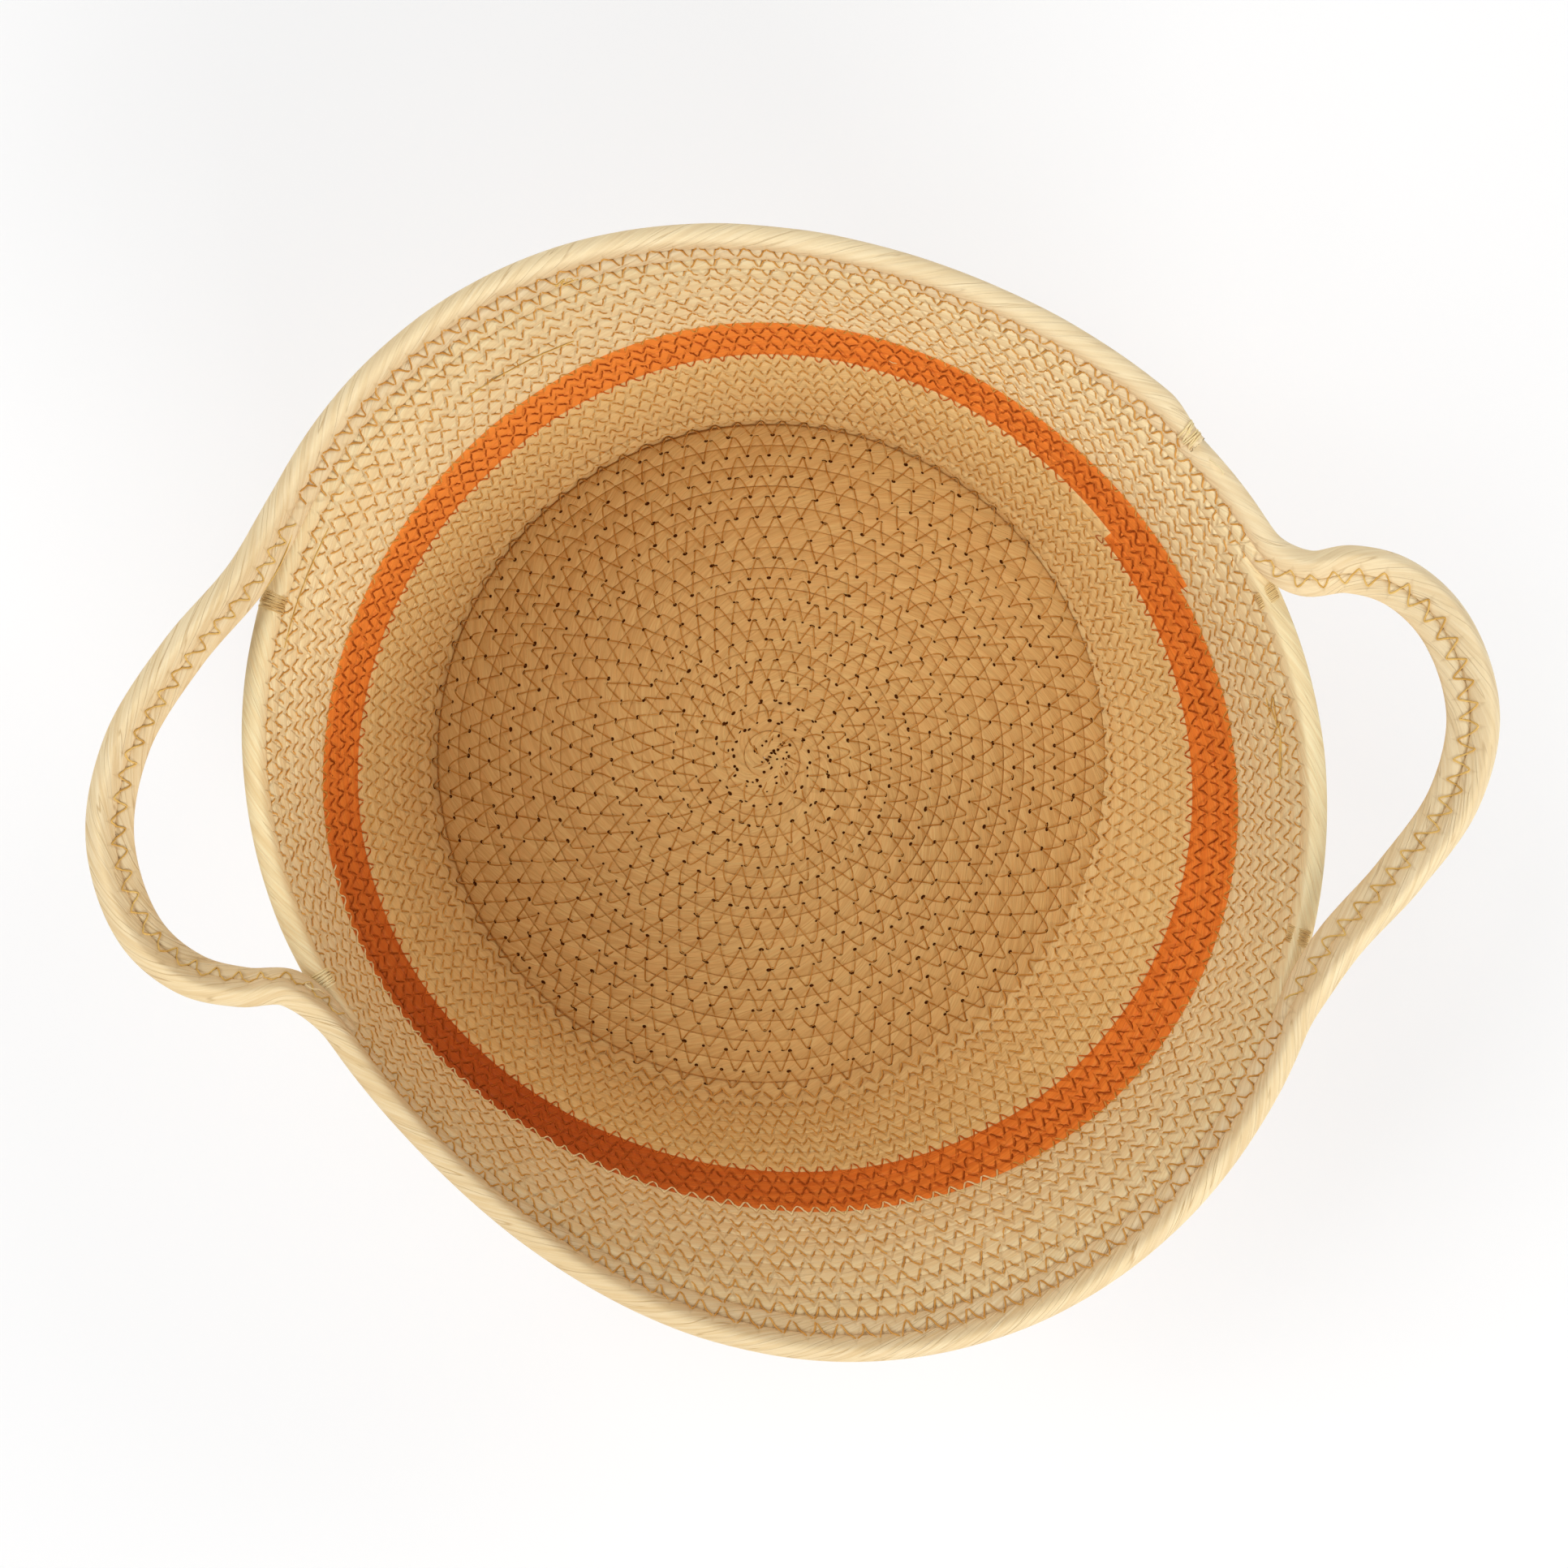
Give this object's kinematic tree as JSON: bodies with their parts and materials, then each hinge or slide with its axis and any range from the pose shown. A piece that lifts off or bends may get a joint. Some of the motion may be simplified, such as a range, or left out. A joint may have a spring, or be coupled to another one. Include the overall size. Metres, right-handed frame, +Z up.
{
  "type": "coiled rope basket",
  "caption": "Round open storage basket of coiled, zigzag-sewn paper rope with an orange stripe round the wall and rope loop handles at both sides of the rim.",
  "frame": {"origin": "under the middle of the flat spiral base, on the surface the basket stands on", "axes": "+Z up out of the basket's mouth, +X towards the right handle, +Y away from the viewer of the front rim"},
  "size_m": [0.3913, 0.3207, 0.1708],
  "materials": {
    "natural_paper_rope": "matte twisted paper rope",
    "orange_paper_rope": "matte dyed paper rope",
    "tan_sewing_thread": "twisted sewing thread"
  },
  "bodies": {
    "basket": {"base_coil": "natural_paper_rope", "lower_wall_coil": "natural_paper_rope", "upper_wall_coil": "natural_paper_rope", "front_rim_inner_rope": "natural_paper_rope", "front_rim_outer_rope": "natural_paper_rope", "back_rim_inner_rope": "natural_paper_rope", "back_rim_outer_rope": "natural_paper_rope", "stripe_coil": "orange_paper_rope", "right_handle_start_tack": "tan_sewing_thread", "right_handle_end_tack": "tan_sewing_thread", "left_handle_start_tack": "tan_sewing_thread", "left_handle_end_tack": "tan_sewing_thread", "rope_end_tack": "tan_sewing_thread"},
    "right_handle": {"right_handle_inner_rope": "natural_paper_rope", "right_handle_outer_rope": "natural_paper_rope"},
    "left_handle": {"left_handle_inner_rope": "natural_paper_rope", "left_handle_outer_rope": "natural_paper_rope"}
  },
  "joints": [
    {"name": "right_handle_swing", "type": "hinge", "parent": "basket", "child": "right_handle", "pos_m": [0.14356, 0.058, 0.14205], "axis": [0.071, -0.997, -0.0306], "range_deg": [-10, 60], "stiffness_Nm_per_rad": 0.1},
    {"name": "left_handle_swing", "type": "hinge", "parent": "basket", "child": "left_handle", "pos_m": [-0.12191, -0.07618, 0.14867], "axis": [-0.0835, 0.9965, -0.0008], "range_deg": [-10, 60], "stiffness_Nm_per_rad": 0.1}
  ]
}
